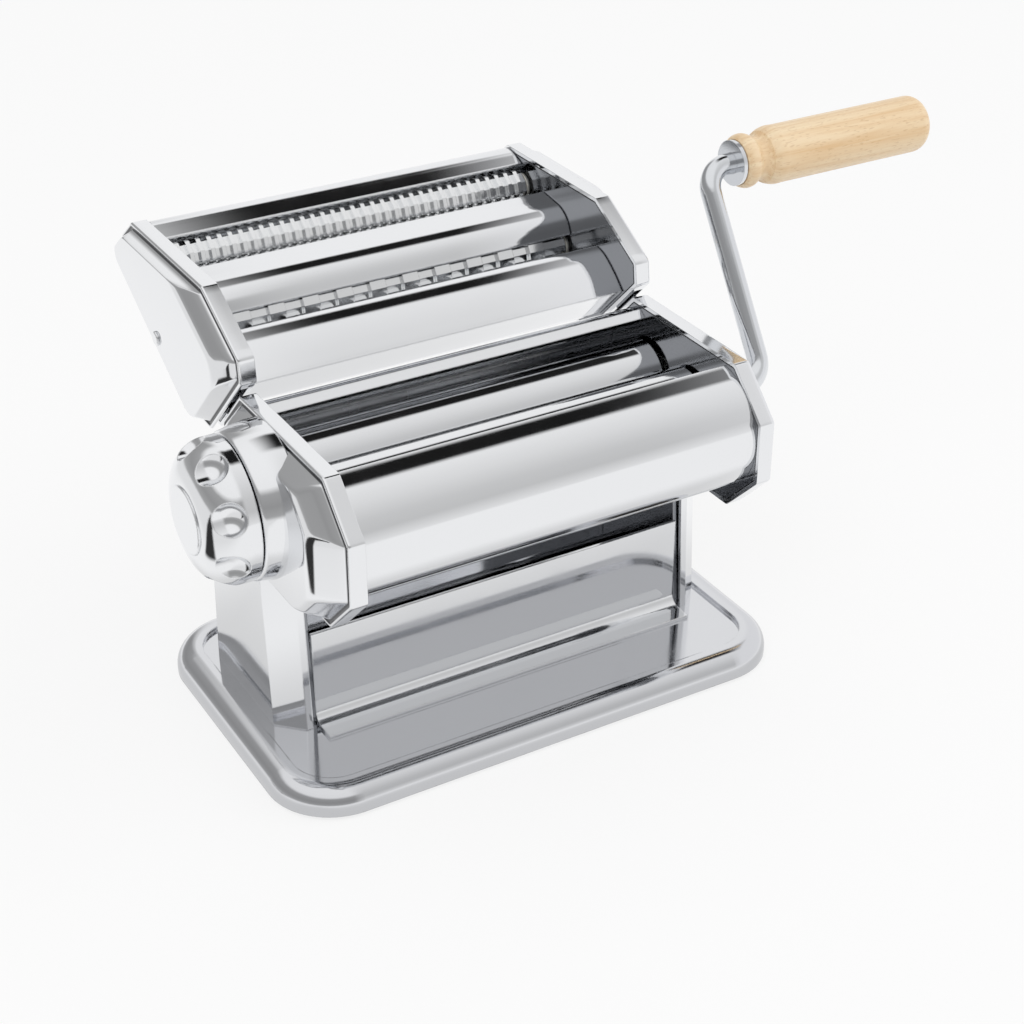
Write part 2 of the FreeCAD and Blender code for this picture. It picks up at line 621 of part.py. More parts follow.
unit_plate = prism(inset(unit, plate_inset), x_in, x_out)
cutter_axes = (wide_front, wide_rear, fine_front, fine_rear)
cutter_bushes = []
for y, z in cutter_axes:
    unit_plate = unit_plate.cut(rod(x_in - 1, x_out + 1, y, z, cut_bush_r + run_gap))
    ferrule = tube(x_in - 0.6, x_out, y, z, cut_bush_r, cut_journal_r + run_gap)
    ferrule = ferrule.fuse(tube(x_out, x_out + 0.9, y, z, cut_bush_r + 1, cut_journal_r + run_gap))
    cutter_bushes += [ferrule.removeSplitter(), mirrored(ferrule.removeSplitter())]
unit_ties = [by_bite(-4.5, -17.4), by_bite(49.0, 18.1)]
for y, z in unit_ties:
    unit_plate = unit_plate.cut(rod(x_in - 1, x_out + 1, y, z, 2.5 + run_gap))
save("cutter_left_plate", mirrored(unit_plate))
save("cutter_right_plate", unit_plate)
save("cutter_bushes", *cutter_bushes)
save("cutter_tie_rods", *[rod(-x_out - 2, x_out + 2, y, z, 2.5) for y, z in unit_ties])

# Cutters: ridged drums that run in each other's grooves
wide_sides, fine_sides = 16, 10
groove_r = cut_r - groove_depth
drum_x = x_in - roller_end_gap


def cutter(axis, pitch, phase, x_low, x_high, sides):
    y, z = axis
    ridge = pitch / 2 - side_gap
    core = prism(regular(y, z, groove_r, sides), -drum_x, drum_x)
    discs = []
    count = int(2 * drum_x / pitch) + 2
    for k in range(-count, count):
        x0 = k * pitch + phase - ridge / 2
        if x0 > -drum_x + 0.2 and x0 + ridge < drum_x - 0.2:
            discs.append(prism(regular(y, z, cut_r, sides), x0, x0 + ridge))
    drum = core.multiFuse(discs)
    return drum.fuse(rod(x_low, x_high, y, z, cut_journal_r))


gear_low = x_out + 1.2
shaft_short = x_out + 1.0
shaft_gear = gear_low + cut_gear_t
socket_start = x_out + 1.3
socket_floor = 0.7
socket_end = x_step + cut_dome_rise - cover_t - 0.6
drive_hub_r = hex_r + 0.6


def drive_socket(name, axis):
    """A hub on a cutter's crank end, bored to take the crank's hexagon."""
    y, z = axis
    hub = rod(socket_start, socket_end, y, z, drive_hub_r)
    save(name, hub.cut(prism(regular(y, z, hex_r + hex_gap, 6), socket_start + socket_floor, socket_end + 1)))


save("wide_cutter_front", cutter(wide_front, wide_pitch, 0.0, -shaft_gear, socket_start, wide_sides))
save("wide_cutter_rear", cutter(wide_rear, wide_pitch, wide_pitch / 2, -shaft_gear, shaft_short, wide_sides))
save("fine_cutter_rear", cutter(fine_rear, fine_pitch, 0.0, -shaft_short, socket_start, fine_sides))
save("fine_cutter_front", cutter(fine_front, fine_pitch, fine_pitch / 2, -shaft_short, shaft_gear, fine_sides))
drive_socket("wide_drive_socket", wide_front)
drive_socket("fine_drive_socket", fine_rear)

# Each pair of cutters is geared: the wide pair on the knob side, the fine pair on the crank side
cut_module = pair / cut_gear_teeth
tilt_a = math.radians(tilt)
half_tooth = math.pi / cut_gear_teeth


def cutter_gear(name, axis, turn, x0, bore):
    y, z = axis
    gear = prism(gear_outline(cut_gear_teeth, cut_module, y, z, turn, 0.7, 1.0), x0, x0 + cut_gear_t)
    save(name, gear.cut(rod(x0 - 1, x0 + cut_gear_t + 1, y, z, bore + 0.02)))


cutter_gear("wide_gear_front", wide_front, tilt_a, -shaft_gear, cut_journal_r)
cutter_gear("wide_gear_rear", wide_rear, tilt_a + math.pi + half_tooth, -shaft_gear, cut_journal_r)
cutter_gear("fine_gear_front", fine_front, tilt_a, gear_low, cut_journal_r)
cutter_gear("fine_gear_rear", fine_rear, tilt_a + math.pi + half_tooth, gear_low, drive_hub_r)

# Combs under the cutters: a strip between the plates with a finger in every groove
strip_r0, strip_r1, strip_half = cut_r + 1.2, cut_r + 2.4, 3.5
finger_tip = groove_r + 0.5
finger_half = 1.0


def comb(axis_u, pitch, phase):
    def bar(low, high, half, x0, x1):
        points = [on_unit(axis_u - half, -low), on_unit(axis_u + half, -low),
                  on_unit(axis_u + half, -high), on_unit(axis_u - half, -high)]
        return prism(points, x0, x1)

    finger_w = pitch / 2 + side_gap - 1.2
    fingers = []
    count = int(drum_x / pitch) + 1
    for k in range(-count, count + 1):
        mid = (k + 0.5) * pitch + phase
        if abs(mid) < drum_x - pitch / 2:
            fingers.append(bar(finger_tip, strip_r0 + 0.4, finger_half, mid - finger_w / 2, mid + finger_w / 2))
    return bar(strip_r0, strip_r1, strip_half, -x_in, x_in).multiFuse(fingers).removeSplitter()


save("wide_comb_front", comb(-pair / 2, wide_pitch, 0.0))
save("wide_comb_rear", comb(pair / 2, wide_pitch, wide_pitch / 2))
save("fine_comb_front", comb(nip_to_nip - pair / 2, fine_pitch, fine_pitch / 2))
save("fine_comb_rear", comb(nip_to_nip + pair / 2, fine_pitch, 0.0))

# Hoods of rolled sheet over the cutters, open only above the two bites
hood_n = cut_r + hood_gap
bite = 5.5              # half the opening above a bite, along the tilt


def hood(edges, thickness):
    return bent_sheet(edges, -x_in, x_in, thickness).translated(V(-x_in, 0, 0))


mid_u = nip_to_nip / 2
mid_low, mid_high = on_unit(bite - 1.5, hood_n), on_unit(nip_to_nip - bite + 1.5, hood_n)
save("cutter_middle_hood", hood([arc(mid_low, on_unit(mid_u, hood_n + 4.4), mid_high)], sheet_t))
face_sum = slope + 2 * plate_inset
nose_top, nose_mid = by_bite(-31.5, 13.1), by_bite(-39.9, 11.1)
nose_low = on_slope(face_sum, 5.7)
front_edges = [line(on_unit(-bite - 1, hood_n), nose_top), arc(nose_top, nose_mid, nose_low),
               line(nose_low, on_slope(face_sum, -13.9))]
save("cutter_front_hood", hood(front_edges, -sheet_t))
rear_top, rear_mid, rear_low = by_bite(42.5, 27.0), by_bite(50.7, 24.8), by_bite(54.5, 19.1)
rear_edges = [line(on_unit(nip_to_nip + bite, hood_n), rear_top), arc(rear_top, rear_mid, rear_low),
              line(rear_low, by_bite(53.1, 14.7))]
save("cutter_rear_hood", hood(rear_edges, -sheet_t))

# Domed rivets on the outer faces of the unit's covers
rivet_at = by_bite(16.5, -1.4)
rivet_r, rivet_h = 2.6, 0.9
unit_face_x = x_step + cut_dome_rise
rivet = rod(unit_face_x, unit_face_x + rivet_h, rivet_at[0], rivet_at[1], rivet_r)
rivet = rivet.makeFillet(0.6, [e for e in rivet.Edges if e.BoundBox.XMin > unit_face_x + 0.1])
save("cutter_cover_rivets", rivet, mirrored(rivet))
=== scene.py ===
import json
import math

import bmesh
import bpy
import numpy as np
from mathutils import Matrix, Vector
from mathutils.geometry import delaunay_2d_cdt


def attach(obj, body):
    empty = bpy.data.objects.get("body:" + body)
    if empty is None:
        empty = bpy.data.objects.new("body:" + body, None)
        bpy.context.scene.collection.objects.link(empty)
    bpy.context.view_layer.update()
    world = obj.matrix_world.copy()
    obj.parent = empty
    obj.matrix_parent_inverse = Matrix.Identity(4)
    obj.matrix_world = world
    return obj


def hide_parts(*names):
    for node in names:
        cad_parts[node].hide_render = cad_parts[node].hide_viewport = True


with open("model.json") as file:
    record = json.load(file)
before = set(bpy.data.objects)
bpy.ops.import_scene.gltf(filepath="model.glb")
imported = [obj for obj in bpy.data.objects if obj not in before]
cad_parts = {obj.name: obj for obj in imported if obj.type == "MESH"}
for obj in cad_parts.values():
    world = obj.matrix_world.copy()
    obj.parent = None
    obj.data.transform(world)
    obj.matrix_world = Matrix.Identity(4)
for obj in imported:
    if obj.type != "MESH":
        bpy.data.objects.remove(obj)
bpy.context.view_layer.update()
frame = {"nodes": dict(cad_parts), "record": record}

MM = 0.001
# Pieces are drawn in millimetres about the middle of the roller housing. The frame's origin lies under the
# middle of the whole machine, so every piece is moved back by this much.
MIDDLE = np.array([46.0, 30.0, 0.0])


# Colours and nodes

def linear(hex_colour):
    """sRGB hex to linear red, green, blue and alpha."""
    parts = [int(hex_colour[i:i + 2], 16) / 255 for i in (1, 3, 5)]
    return tuple(c / 12.92 if c <= 0.04045 else ((c + 0.055) / 1.055) ** 2.4 for c in parts) + (1.0,)


def add(tree, kind, settings=None, links=None):
    """Adds one node. settings are socket numbers or names with values, or node properties;
    links are socket numbers or names with the output that feeds them."""
    made = tree.nodes.new("ShaderNode" + kind)
    for key, value in (settings or {}).items():
        if isinstance(key, str) and hasattr(made, key) and key not in made.inputs:
            setattr(made, key, value)
        else:
            made.inputs[key].default_value = value
    for key, source in (links or {}).items():
        tree.links.new(made.inputs[key], source)
    return made


def new_material(name):
    """An empty node material and its tree."""
    made = bpy.data.materials.new(name)
    made.use_nodes = True
    made.node_tree.nodes.clear()
    return made, made.node_tree


# Finishes

WIPED_PATCH_MM = 18
LINE_LENGTH_MM = 40
LINE_RELIEF_MM = 0.02
# Dark tone of the painted shade in the groove behind a cover's lip
GROOVE_SHADE_TONE = "#2B2C2F"


def plated(name, colour, rough, spread, wave_mm, wave_depth_mm, edge_mm, line_axis=None, line_mm=0.5,
           line_depth=0.0, with_groove_shade=False):
    """Plated or polished metal. Roughness drifts by spread over patches of about 18 mm, as wiping leaves it.
    A slow waviness bends reflections as pressed sheet does. Edges within edge_mm catch the light as rounded.
    line_axis draws fine turning or rolling lines across that axis, drawn at line_mm so that they show.
    The last flag darkens the metal where the mesh's groove value is high: painted shade that stands in for
    the shadow in a pressed groove."""
    made, tree = new_material(name)
    where = add(tree, "TexCoord").outputs["Object"]
    patch = add(tree, "TexNoise", {"Scale": 1 / (WIPED_PATCH_MM * MM), "Detail": 3.0}, {"Vector": where})
    wiped = add(tree, "MapRange", {"From Min": 0.3, "From Max": 0.7, "To Min": rough - spread,
                                   "To Max": rough + spread}, {"Value": patch.outputs["Fac"]})
    edge = add(tree, "Bevel", {"samples": 4, "Radius": edge_mm * MM})
    wave = add(tree, "TexNoise", {"Scale": 1 / (wave_mm * MM), "Detail": 1.0}, {"Vector": where})
    normal = add(tree, "Bump", {"Strength": 1.0, "Distance": wave_depth_mm * MM},
                 {"Height": wave.outputs["Fac"], "Normal": edge.outputs["Normal"]}).outputs["Normal"]
    if line_axis is not None:
        stretch = [1 / (LINE_LENGTH_MM * MM)] * 3
        stretch[line_axis] = 1 / (line_mm * MM)
        line_at = add(tree, "Mapping", {"Scale": stretch}, {"Vector": where})
        lines = add(tree, "TexNoise", {"Scale": 1.0, "Detail": 2.0}, {"Vector": line_at.outputs["Vector"]})
        normal = add(tree, "Bump", {"Strength": line_depth, "Distance": LINE_RELIEF_MM * MM},
                     {"Height": lines.outputs["Fac"], "Normal": normal}).outputs["Normal"]
    shader = add(tree, "BsdfPrincipled", {"Base Color": linear(colour), "Metallic": 1.0},
                 {"Roughness": wiped.outputs["Result"], "Normal": normal})
    # Painted shade: a value on each point of the mesh mixes the colour towards the dark groove tone
    if with_groove_shade:
        groove_shade = add(tree, "Attribute", {"attribute_name": "groove_shade"})
        tone = add(tree, "Mix", {"data_type": "RGBA", 6: linear(colour), 7: linear(GROOVE_SHADE_TONE)},
                   {0: groove_shade.outputs["Fac"]})
        tree.links.new(shader.inputs["Base Color"], tone.outputs[2])
    add(tree, "OutputMaterial", links={"Surface": shader.outputs["BSDF"]})
    return made


def moulded(name, colour, rough, grain_mm, grain_depth_mm):
    """Moulded plastic or rubber: a fine grain of grain_mm in relief, and a tone that drifts over 12 mm
    between the colour and 0.82 of it."""
    drift_mm, darkest = 12, 0.82
    made, tree = new_material(name)
    where = add(tree, "TexCoord").outputs["Object"]
    drift = add(tree, "TexNoise", {"Scale": 1 / (drift_mm * MM), "Detail": 3.0}, {"Vector": where})
    light = linear(colour)
    dark = tuple(c * darkest for c in light[:3]) + (1.0,)
    tone = add(tree, "Mix", {"data_type": "RGBA", 6: dark, 7: light}, {0: drift.outputs["Fac"]})
    grain = add(tree, "TexNoise", {"Scale": 1 / (grain_mm * MM), "Detail": 2.0}, {"Vector": where})
    normal = add(tree, "Bump", {"Strength": 0.5, "Distance": grain_depth_mm * MM},
                 {"Height": grain.outputs["Fac"]})
    shader = add(tree, "BsdfPrincipled", {"Roughness": rough, "IOR": 1.5},
                 {"Base Color": tone.outputs[2], "Normal": normal.outputs["Normal"]})
    add(tree, "OutputMaterial", links={"Surface": shader.outputs["BSDF"]})
    return made


def beech_wood():
    """Turned beech under a clear matt finish: pale straw colour, straight grain along the grip, 2 to 3 mm
    wide, and the short dark ray flecks that mark beech, drawn 2.4 mm by 0.45 mm so that they show. Turning
    leaves it satin."""
    grain_mm = (60, 2.2, 3.0)
    fleck_mm = (2.4, 0.45, 0.45)
    grain_relief_mm = 0.06
    made, tree = new_material("turned_beech")
    where = add(tree, "TexCoord").outputs["Object"]
    grain_at = add(tree, "Mapping", {"Scale": [1 / (size * MM) for size in grain_mm]}, {"Vector": where})
    grain = add(tree, "TexNoise", {"Scale": 1.0, "Detail": 4.0, "Roughness": 0.55, "Distortion": 0.4},
                {"Vector": grain_at.outputs["Vector"]})
    straw = add(tree, "ValToRGB", links={"Fac": grain.outputs["Fac"]})
    for stop, place, colour in zip(straw.color_ramp.elements, (0.28, 0.68), ("#E6C293", "#F8E2BF")):
        stop.position = place
        stop.color = linear(colour)
    fleck_at = add(tree, "Mapping", {"Scale": [1 / (size * MM) for size in fleck_mm]}, {"Vector": where})
    fleck = add(tree, "TexNoise", {"Scale": 1.0, "Detail": 0.0}, {"Vector": fleck_at.outputs["Vector"]})
    fleck_on = add(tree, "MapRange", {"From Min": 0.64, "From Max": 0.72, "To Min": 0.0, "To Max": 0.26},
                   {"Value": fleck.outputs["Fac"]})
    tone = add(tree, "Mix", {"data_type": "RGBA", 7: linear("#BE8F58")},
               {0: fleck_on.outputs["Result"], 6: straw.outputs["Color"]})
    normal = add(tree, "Bump", {"Strength": 0.25, "Distance": grain_relief_mm * MM},
                 {"Height": grain.outputs["Fac"]})
    shader = add(tree, "BsdfPrincipled",
                 {"Roughness": 0.42, "IOR": 1.5, "Coat Weight": 0.15, "Coat Roughness": 0.25},
                 {"Base Color": tone.outputs[2], "Normal": normal.outputs["Normal"]})
    add(tree, "OutputMaterial", links={"Surface": shader.outputs["BSDF"]})
    return made


# Chrome plate on pressed steel: near-mirror, a little blue, softened by wiping
chrome_plate = plated("polished_chrome_plate", "#E9EAEC", 0.07, 0.03, 22, 0.010, 0.7)
# The tray's plate is greyer than the other chrome and rougher, so its reflections are darker and softer
base_chrome = plated("greyer_base_chrome", "#D8D9DC", 0.09, 0.04, 24, 0.012, 0.7)
# The covers are pressed in a die: the same mirror with crisp edges, and painted shade in the groove behind the
# lip
cover_chrome = plated("pressed_cover_chrome_painted_groove_shade", "#E9EAEC", 0.07, 0.03, 22, 0.010, 0.3, with_groove_shade=True)
finishes = {
    "chrome_plate": chrome_plate,
    # Ground and plated rollers: mirror with faint turning marks
    "roller_steel": plated("ground_roller_chrome", "#E6E7E9", 0.08, 0.03, 30, 0.004, 0.4, 0, 0.6, 0.02),
    # Drawn and plated rod: bright, with reflections pulled a little wider than on sheet
    "plated_rod": plated("plated_bright_rod", "#DCDEE1", 0.10, 0.04, 16, 0.006, 0.4),
    # Milled cutters: bright steel with fine marks across the axis
    "cutter_steel": plated("milled_cutter_steel", "#ECEDEE", 0.13, 0.05, 10, 0.004, 0.25, 0, 0.4, 0.15),
    # Machined gears: plain grey steel with a broad sheen
    "gear_steel": plated("machined_gear_steel", "#9A9A98", 0.34, 0.08, 9, 0.006, 0.25),
    # Rolled spring steel: satin, with rolling lines
    "spring_steel": plated("plain_spring_steel", "#B9BABC", 0.28, 0.07, 14, 0.008, 0.25, 1, 0.5, 0.2),
    # Bright zinc on the end plates: darker than chrome, with upright rolling lines
    "zinc_plate": plated("bright_zinc_plate", "#8E9094", 0.12, 0.04, 20, 0.008, 0.4, 2, 0.7, 0.12),
    # Moulded nylon: off-white and waxy
    "white_nylon": moulded("moulded_white_nylon", "#E9E7DF", 0.42, 0.5, 0.02),
    # Soft rubber: black, with hardly any gloss
    "foot_rubber": moulded("soft_black_rubber", "#1B1B1C", 0.78, 0.6, 0.05),
    "beech": beech_wood(),
}
slot_of = {part["node"]: part["material_slot"] for part in frame["record"]["subparts"]}
for name, thing in frame["nodes"].items():
    thing.data.materials.clear()
    thing.data.materials.append(base_chrome if name == "base_tray" else finishes[slot_of[name]])


# Making a piece

def band_faces(first, second, count):
    """Four-sided faces between two rings of count points, whose numbers start at first and at second."""
    k = np.arange(count)
    after = (k + 1) % count
    return np.stack([first + k, first + after, second + after, second + k], 1)


def grid_faces(rows, cols):
    """The faces of rows rings of cols points each, every ring joined to the next."""
    return np.vstack([band_faces(row * cols, (row + 1) * cols, cols) for row in range(rows - 1)])


def at_x(x, ring):
    """A ring of points in the YZ plane, set at x."""
    return np.column_stack([np.full(len(ring), x), ring])


def piece(name, points, faces, finish, body, replaced, sharp_deg=32):
    """A new object from points in millimetres about the housing, its faces turned outwards, smooth except at
    edges sharper than sharp_deg."""
    mesh = bpy.data.meshes.new(name)
    mesh.from_pydata(((points - MIDDLE) * MM).tolist(), [], faces)
    mesh.validate()
    outward = bmesh.new()
    outward.from_mesh(mesh)
    bmesh.ops.recalc_face_normals(outward, faces=outward.faces)
    outward.to_mesh(mesh)
    outward.free()
    mesh.update()
    mesh.shade_smooth()
    mesh.set_sharp_from_angle(angle=math.radians(sharp_deg))
    mesh.materials.append(finish)
    made = bpy.data.objects.new(name, mesh)
    bpy.context.scene.collection.objects.link(made)
    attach(made, body)
    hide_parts(replaced)
    return made


# Hoods of the cutter unit

HOOD_HALF = 72.9
HOOD_SHEET = 1.1
HOOD_EDGE = 0.5


def through(points, steps=14):
    """A smooth line through the given points: between two neighbours it follows the cubic that leaves each
    along the line joining the points on either side of it."""
    p = np.array(points, float)
    p = np.vstack([2 * p[0] - p[1], p, 2 * p[-1] - p[-2]])
    t = np.linspace(0, 1, steps, endpoint=False)[None, :, None]
    a, b, c, d = (p[i:len(p) - 3 + i, None, :] for i in range(4))
    square, cube = 2 * a - 5 * b + 4 * c - d, 3 * b - a - 3 * c + d
    line = 0.5 * (2 * b + (c - a) * t + square * t ** 2 + cube * t ** 3)
    return np.vstack([line.reshape(-1, 2), p[-2]])


def rolled_sheet(name, line, replaced):
    """A hood of sheet metal whose outer face follows line in the YZ plane and whose inner face lies one
    sheet further in. A half circle closes each long edge, and the last HOOD_EDGE mm of each end are drawn
    in by a quarter circle. line runs so that the outer side is on its left."""
    way = np.gradient(line, axis=0)
    way /= np.linalg.norm(way, axis=1)[:, None]
    inward = np.stack([way[:, 1], -way[:, 0]], 1)
    turn = np.linspace(0, np.pi, 9)[1:-1, None]
    half_sheet = HOOD_SHEET / 2
    core = line + inward * HOOD_SHEET / 2
    cap_end = core[-1] + half_sheet * (-inward[-1] * np.cos(turn) + way[-1] * np.sin(turn))
    cap_start = core[0] + half_sheet * (inward[0] * np.cos(turn) - way[0] * np.sin(turn))
    ring = np.vstack([line, cap_end, (line + inward * HOOD_SHEET)[::-1], cap_start])
    middle = np.vstack([core, np.repeat(core[-1:], len(cap_end), 0),
                        core[::-1], np.repeat(core[:1], len(cap_start), 0)])
    reach = middle - ring
    reach /= np.linalg.norm(reach, axis=1)[:, None]
    a = np.linspace(0, np.pi / 2, 5)
    short = HOOD_EDGE * (1 - np.sin(a))
    drawn = HOOD_EDGE * (1 - np.cos(a))
    stations = np.concatenate([-HOOD_HALF + short[::-1], HOOD_HALF - short])
    draw = np.concatenate([drawn[::-1], drawn])
    points = np.vstack([at_x(x, ring + reach * d) for x, d in zip(stations, draw)])
    cols, rows = len(ring), len(stations)
    first_end = list(range(cols))[::-1]
    last_end = list(range((rows - 1) * cols, rows * cols))
    faces = grid_faces(rows, cols).tolist() + [first_end, last_end]
    return piece(name, points, faces, chrome_plate, "cutter_unit", replaced)


# Each line gives y and z of the hood's outer face, seen from the crank's end
front_nose = through([(51.0, 126.4), (47.6, 129.2), (45.2, 131.0), (43.6, 131.8), (42.0, 131.8),
                      (39.6, 131.2), (37.2, 130.2), (34.0, 128.2), (30.8, 125.8), (27.6, 123.0),
                      (25.4, 120.9)])
front_return = through([(25.7, 120.6), (31.0, 115.4), (40.4, 106.0)], 6)
rolled_sheet("cutter_front_sheet", np.vstack([front_nose, front_return])[::-1], "cutter_front_hood")
middle_line = through([(61.2, 130.2), (62.6, 133.2), (64.4, 135.6), (66.6, 137.2), (69.4, 138.3),
                       (73.0, 138.9), (77.0, 139.4), (80.6, 139.9)])
rolled_sheet("cutter_middle_sheet", middle_line, "cutter_middle_hood")
rear_line = through([(97.0, 146.1), (99.4, 147.0), (102.0, 147.9), (104.6, 148.6), (107.6, 148.6),
                     (111.2, 146.8), (114.2, 143.4), (115.8, 139.2), (114.7, 134.8)])
rolled_sheet("cutter_rear_sheet", rear_line, "cutter_rear_hood")


# Pressed covers

HOLE_POINTS = 32
RIM_X = 73.1
LIP_X = 79.0
BEVEL_X = 79.3
BEVEL_START = 2.75
COVER_WALL = 1.4
COVER_SHARP_DEG = 40
BAND_CORNER = 2.0
INNER_CORNER = 1.0
# Corner radius at a bevel's foot, and how much it grows by the full inset
OUTER_FOOT_CORNER, OUTER_CORNER_GROWTH = 2.2, 4.5
INNER_FOOT_CORNER, INNER_CORNER_GROWTH = 2.0, 4.0
# Inner face: x and the distance in, below the lip and at the bevel's foot, and what the foot takes of an inset
BELOW_LIP_X, BELOW_LIP_IN = 78.2, 3.2
INNER_FOOT_X, INNER_FOOT_IN, INNER_FOOT_TAKES = 78.3, 4.0, 2.6
# The lip and the groove behind it, as x and the distance in from the outline
LIP = [(78.35, 0.02), (78.7, 0.12), (78.93, 0.4), (LIP_X, 0.8), (78.9, 1.15), (78.6, 1.45), (78.5, 1.9),
       (78.65, 2.35), (LIP_X, 2.6)]
# Painted shade in the groove: the distances in between which it is darkened, and how far towards the dark tone
GROOVE_FROM, GROOVE_TO, GROOVE_SHADE_AMOUNT = 1.0, 2.5, 0.95
# A bevel as shares of a side's inset and of the rise: straight, then a parabola over into the flat face
STRAIGHT = [(0, 0), (0.35, 0.37), (0.7, 0.74)]
BEND_START, BEND_PULL, BEND_END = np.array([(0.7, 0.74), (0.95, 1.0), (1.2, 1.0)])
FLAT_RING = (1.26, 1.0)


def inset(outline, gaps):
    """Moves side i of a convex outline in by gaps[i]; each corner is where its two moved sides cross."""
    p = np.array(outline, float)
    way = np.roll(p, -1, 0) - p
    normal = np.stack([-way[:, 1], way[:, 0]], 1) / np.linalg.norm(way, axis=1)[:, None]
    normal *= np.sign(((p.mean(0) - p) * normal).sum(1))[:, None]
    level = (normal * p).sum(1) + gaps
    a, b, la, lb = np.roll(normal, 1, 0), normal, np.roll(level, 1), level
    det = a[:, 0] * b[:, 1] - a[:, 1] * b[:, 0]
    return np.stack([(la * b[:, 1] - a[:, 1] * lb) / det, (a[:, 0] * lb - la * b[:, 0]) / det], 1)


def rounded(corners, radius, arc_points=7, side_points=9):
    """A ring round the outline: at each corner an arc of the radius, or less on a short side, then points
    along the side to the next corner. The arc turns evenly between the points where it touches the sides."""
    largest_cut = 0.42
    way = np.roll(corners, -1, 0) - corners
    length = np.linalg.norm(way, axis=1)
    on = way / length[:, None]
    back = -np.roll(on, 1, 0)
    half_angle = np.arccos((on * back).sum(1)) / 2
    cut = np.minimum(radius / np.tan(half_angle), largest_cut * np.minimum(length, np.roll(length, 1)))
    r = (cut * np.tan(half_angle))[:, None]
    middle = on + back
    centre = corners + middle / np.linalg.norm(middle, axis=1)[:, None] * r / np.sin(half_angle)[:, None]
    start, end = corners + back * cut[:, None], corners + on * cut[:, None]
    t = np.linspace(0, 1, arc_points)[None, :, None]
    swing = (np.pi - 2 * half_angle)[:, None, None]
    from_start = np.sin((1 - t) * swing) * (start - centre)[:, None]
    to_end = np.sin(t * swing) * (end - centre)[:, None]
    bow = (from_start + to_end) / np.sin(swing)
    f = (np.arange(1, side_points + 1) / (side_points + 1))[None, :, None]
    side = end[:, None] + (np.roll(start, -1, 0) - end)[:, None] * f
    return np.concatenate([centre[:, None] + bow, side], 1).reshape(-1, 2)


def circle(centre, r, count=HOLE_POINTS):
    """count points at even angles and the distance r from the centre."""
    a = np.linspace(0, 2 * np.pi, count, endpoint=False)
    return np.array(centre) + r * np.stack([np.cos(a), np.sin(a)], 1)


def flat_faces(ring, holes):
    """Triangles over a flat ring less its holes, as rows of point numbers: the ring's, then each hole's."""
    loops, total = [], 0
    for loop in [ring] + holes:
        loops.append(list(range(total, total + len(loop))))
        total += len(loop)
    owner = np.repeat(np.arange(len(loops)), [len(n) for n in loops])
    found = delaunay_2d_cdt([Vector(q) for q in np.vstack([ring] + holes)], [], loops, 1, 1e-6)
    first = np.array([source[0] for source in found[3]])
    rows = first[np.array(found[2])]
    own = owner[rows]
    in_hole = (own[:, 0] > 0) & (own[:, 0] == own[:, 1]) & (own[:, 1] == own[:, 2])
    return rows[~in_hole]


def cover_levels(outline, insets, top_x, gap_x):
    """The rings of a cover's outer face and of its inner face, each as x, corners and corner radius, and how
    much painted shade each outer ring gets. The band and the lip move all sides in evenly. A bevel's ring
    moves each side by a share of its own inset while x climbs by a share of the rise."""
    even = np.ones(len(insets))
    s = np.linspace(0, 1, 8)[1:, None]
    bend = (1 - s) ** 2 * BEND_START + 2 * s * (1 - s) * BEND_PULL + s ** 2 * BEND_END
    bevel = np.vstack([STRAIGHT, bend, FLAT_RING])
    band = [(RIM_X, 0.0), (gap_x[0], 0.0), (gap_x[1], 0.0)]
    outer = [(x, inset(outline, even * d), BAND_CORNER) for x, d in band + LIP]
    shade_amounts = [GROOVE_SHADE_AMOUNT if GROOVE_FROM < d < GROOVE_TO else 0.0 for x, d in band + LIP]
    for share, height in bevel:
        corners = inset(outline, BEVEL_START + (insets - BEVEL_START) * share)
        radius = OUTER_FOOT_CORNER + OUTER_CORNER_GROWTH * share
        outer.append((BEVEL_X + (top_x - BEVEL_X) * height, corners, radius))
        shade_amounts.append(0.0)
    inner = [(x, inset(outline, even * COVER_WALL), INNER_CORNER) for x, d in band]
    inner.append((BELOW_LIP_X, inset(outline, even * BELOW_LIP_IN), INNER_CORNER))
    for share, height in bevel[1:]:
        corners = inset(outline, INNER_FOOT_IN + (insets - INNER_FOOT_TAKES) * share)
        radius = INNER_FOOT_CORNER + INNER_CORNER_GROWTH * share
        inner.append((INNER_FOOT_X + (top_x - COVER_WALL - INNER_FOOT_X) * height, corners, radius))
    return outer, inner, shade_amounts


